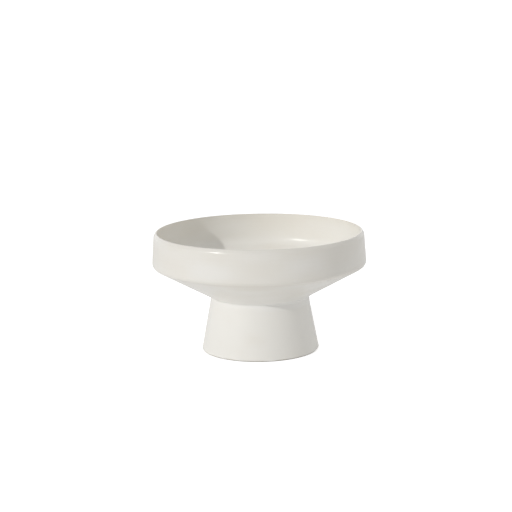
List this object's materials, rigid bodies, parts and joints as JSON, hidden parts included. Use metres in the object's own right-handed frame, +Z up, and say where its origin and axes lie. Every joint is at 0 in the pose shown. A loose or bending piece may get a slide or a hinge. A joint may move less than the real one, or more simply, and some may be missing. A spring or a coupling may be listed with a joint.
{
  "type": "footed bowl",
  "caption": "Wide glazed stoneware bowl with a sloping underside, a crisp shoulder and a low near-upright wall with a bevelled lip, on a hollow tapered foot luted on with slip.",
  "frame": {"origin": "centre of the foot ring, on the surface that the bowl stands on", "axes": "+Z up along the axis of revolution; X and Y are alike"},
  "size_m": [0.2496, 0.2496, 0.14],
  "materials": {
    "glaze": "satin",
    "clay": "matte",
    "slip": "matte"
  },
  "bodies": {
    "root": {"bowl": "clay", "foot": "clay", "luting_slip": "slip", "outer_glaze": "glaze", "liner_glaze": "glaze", "well_glaze": "glaze"}
  },
  "joints": []
}
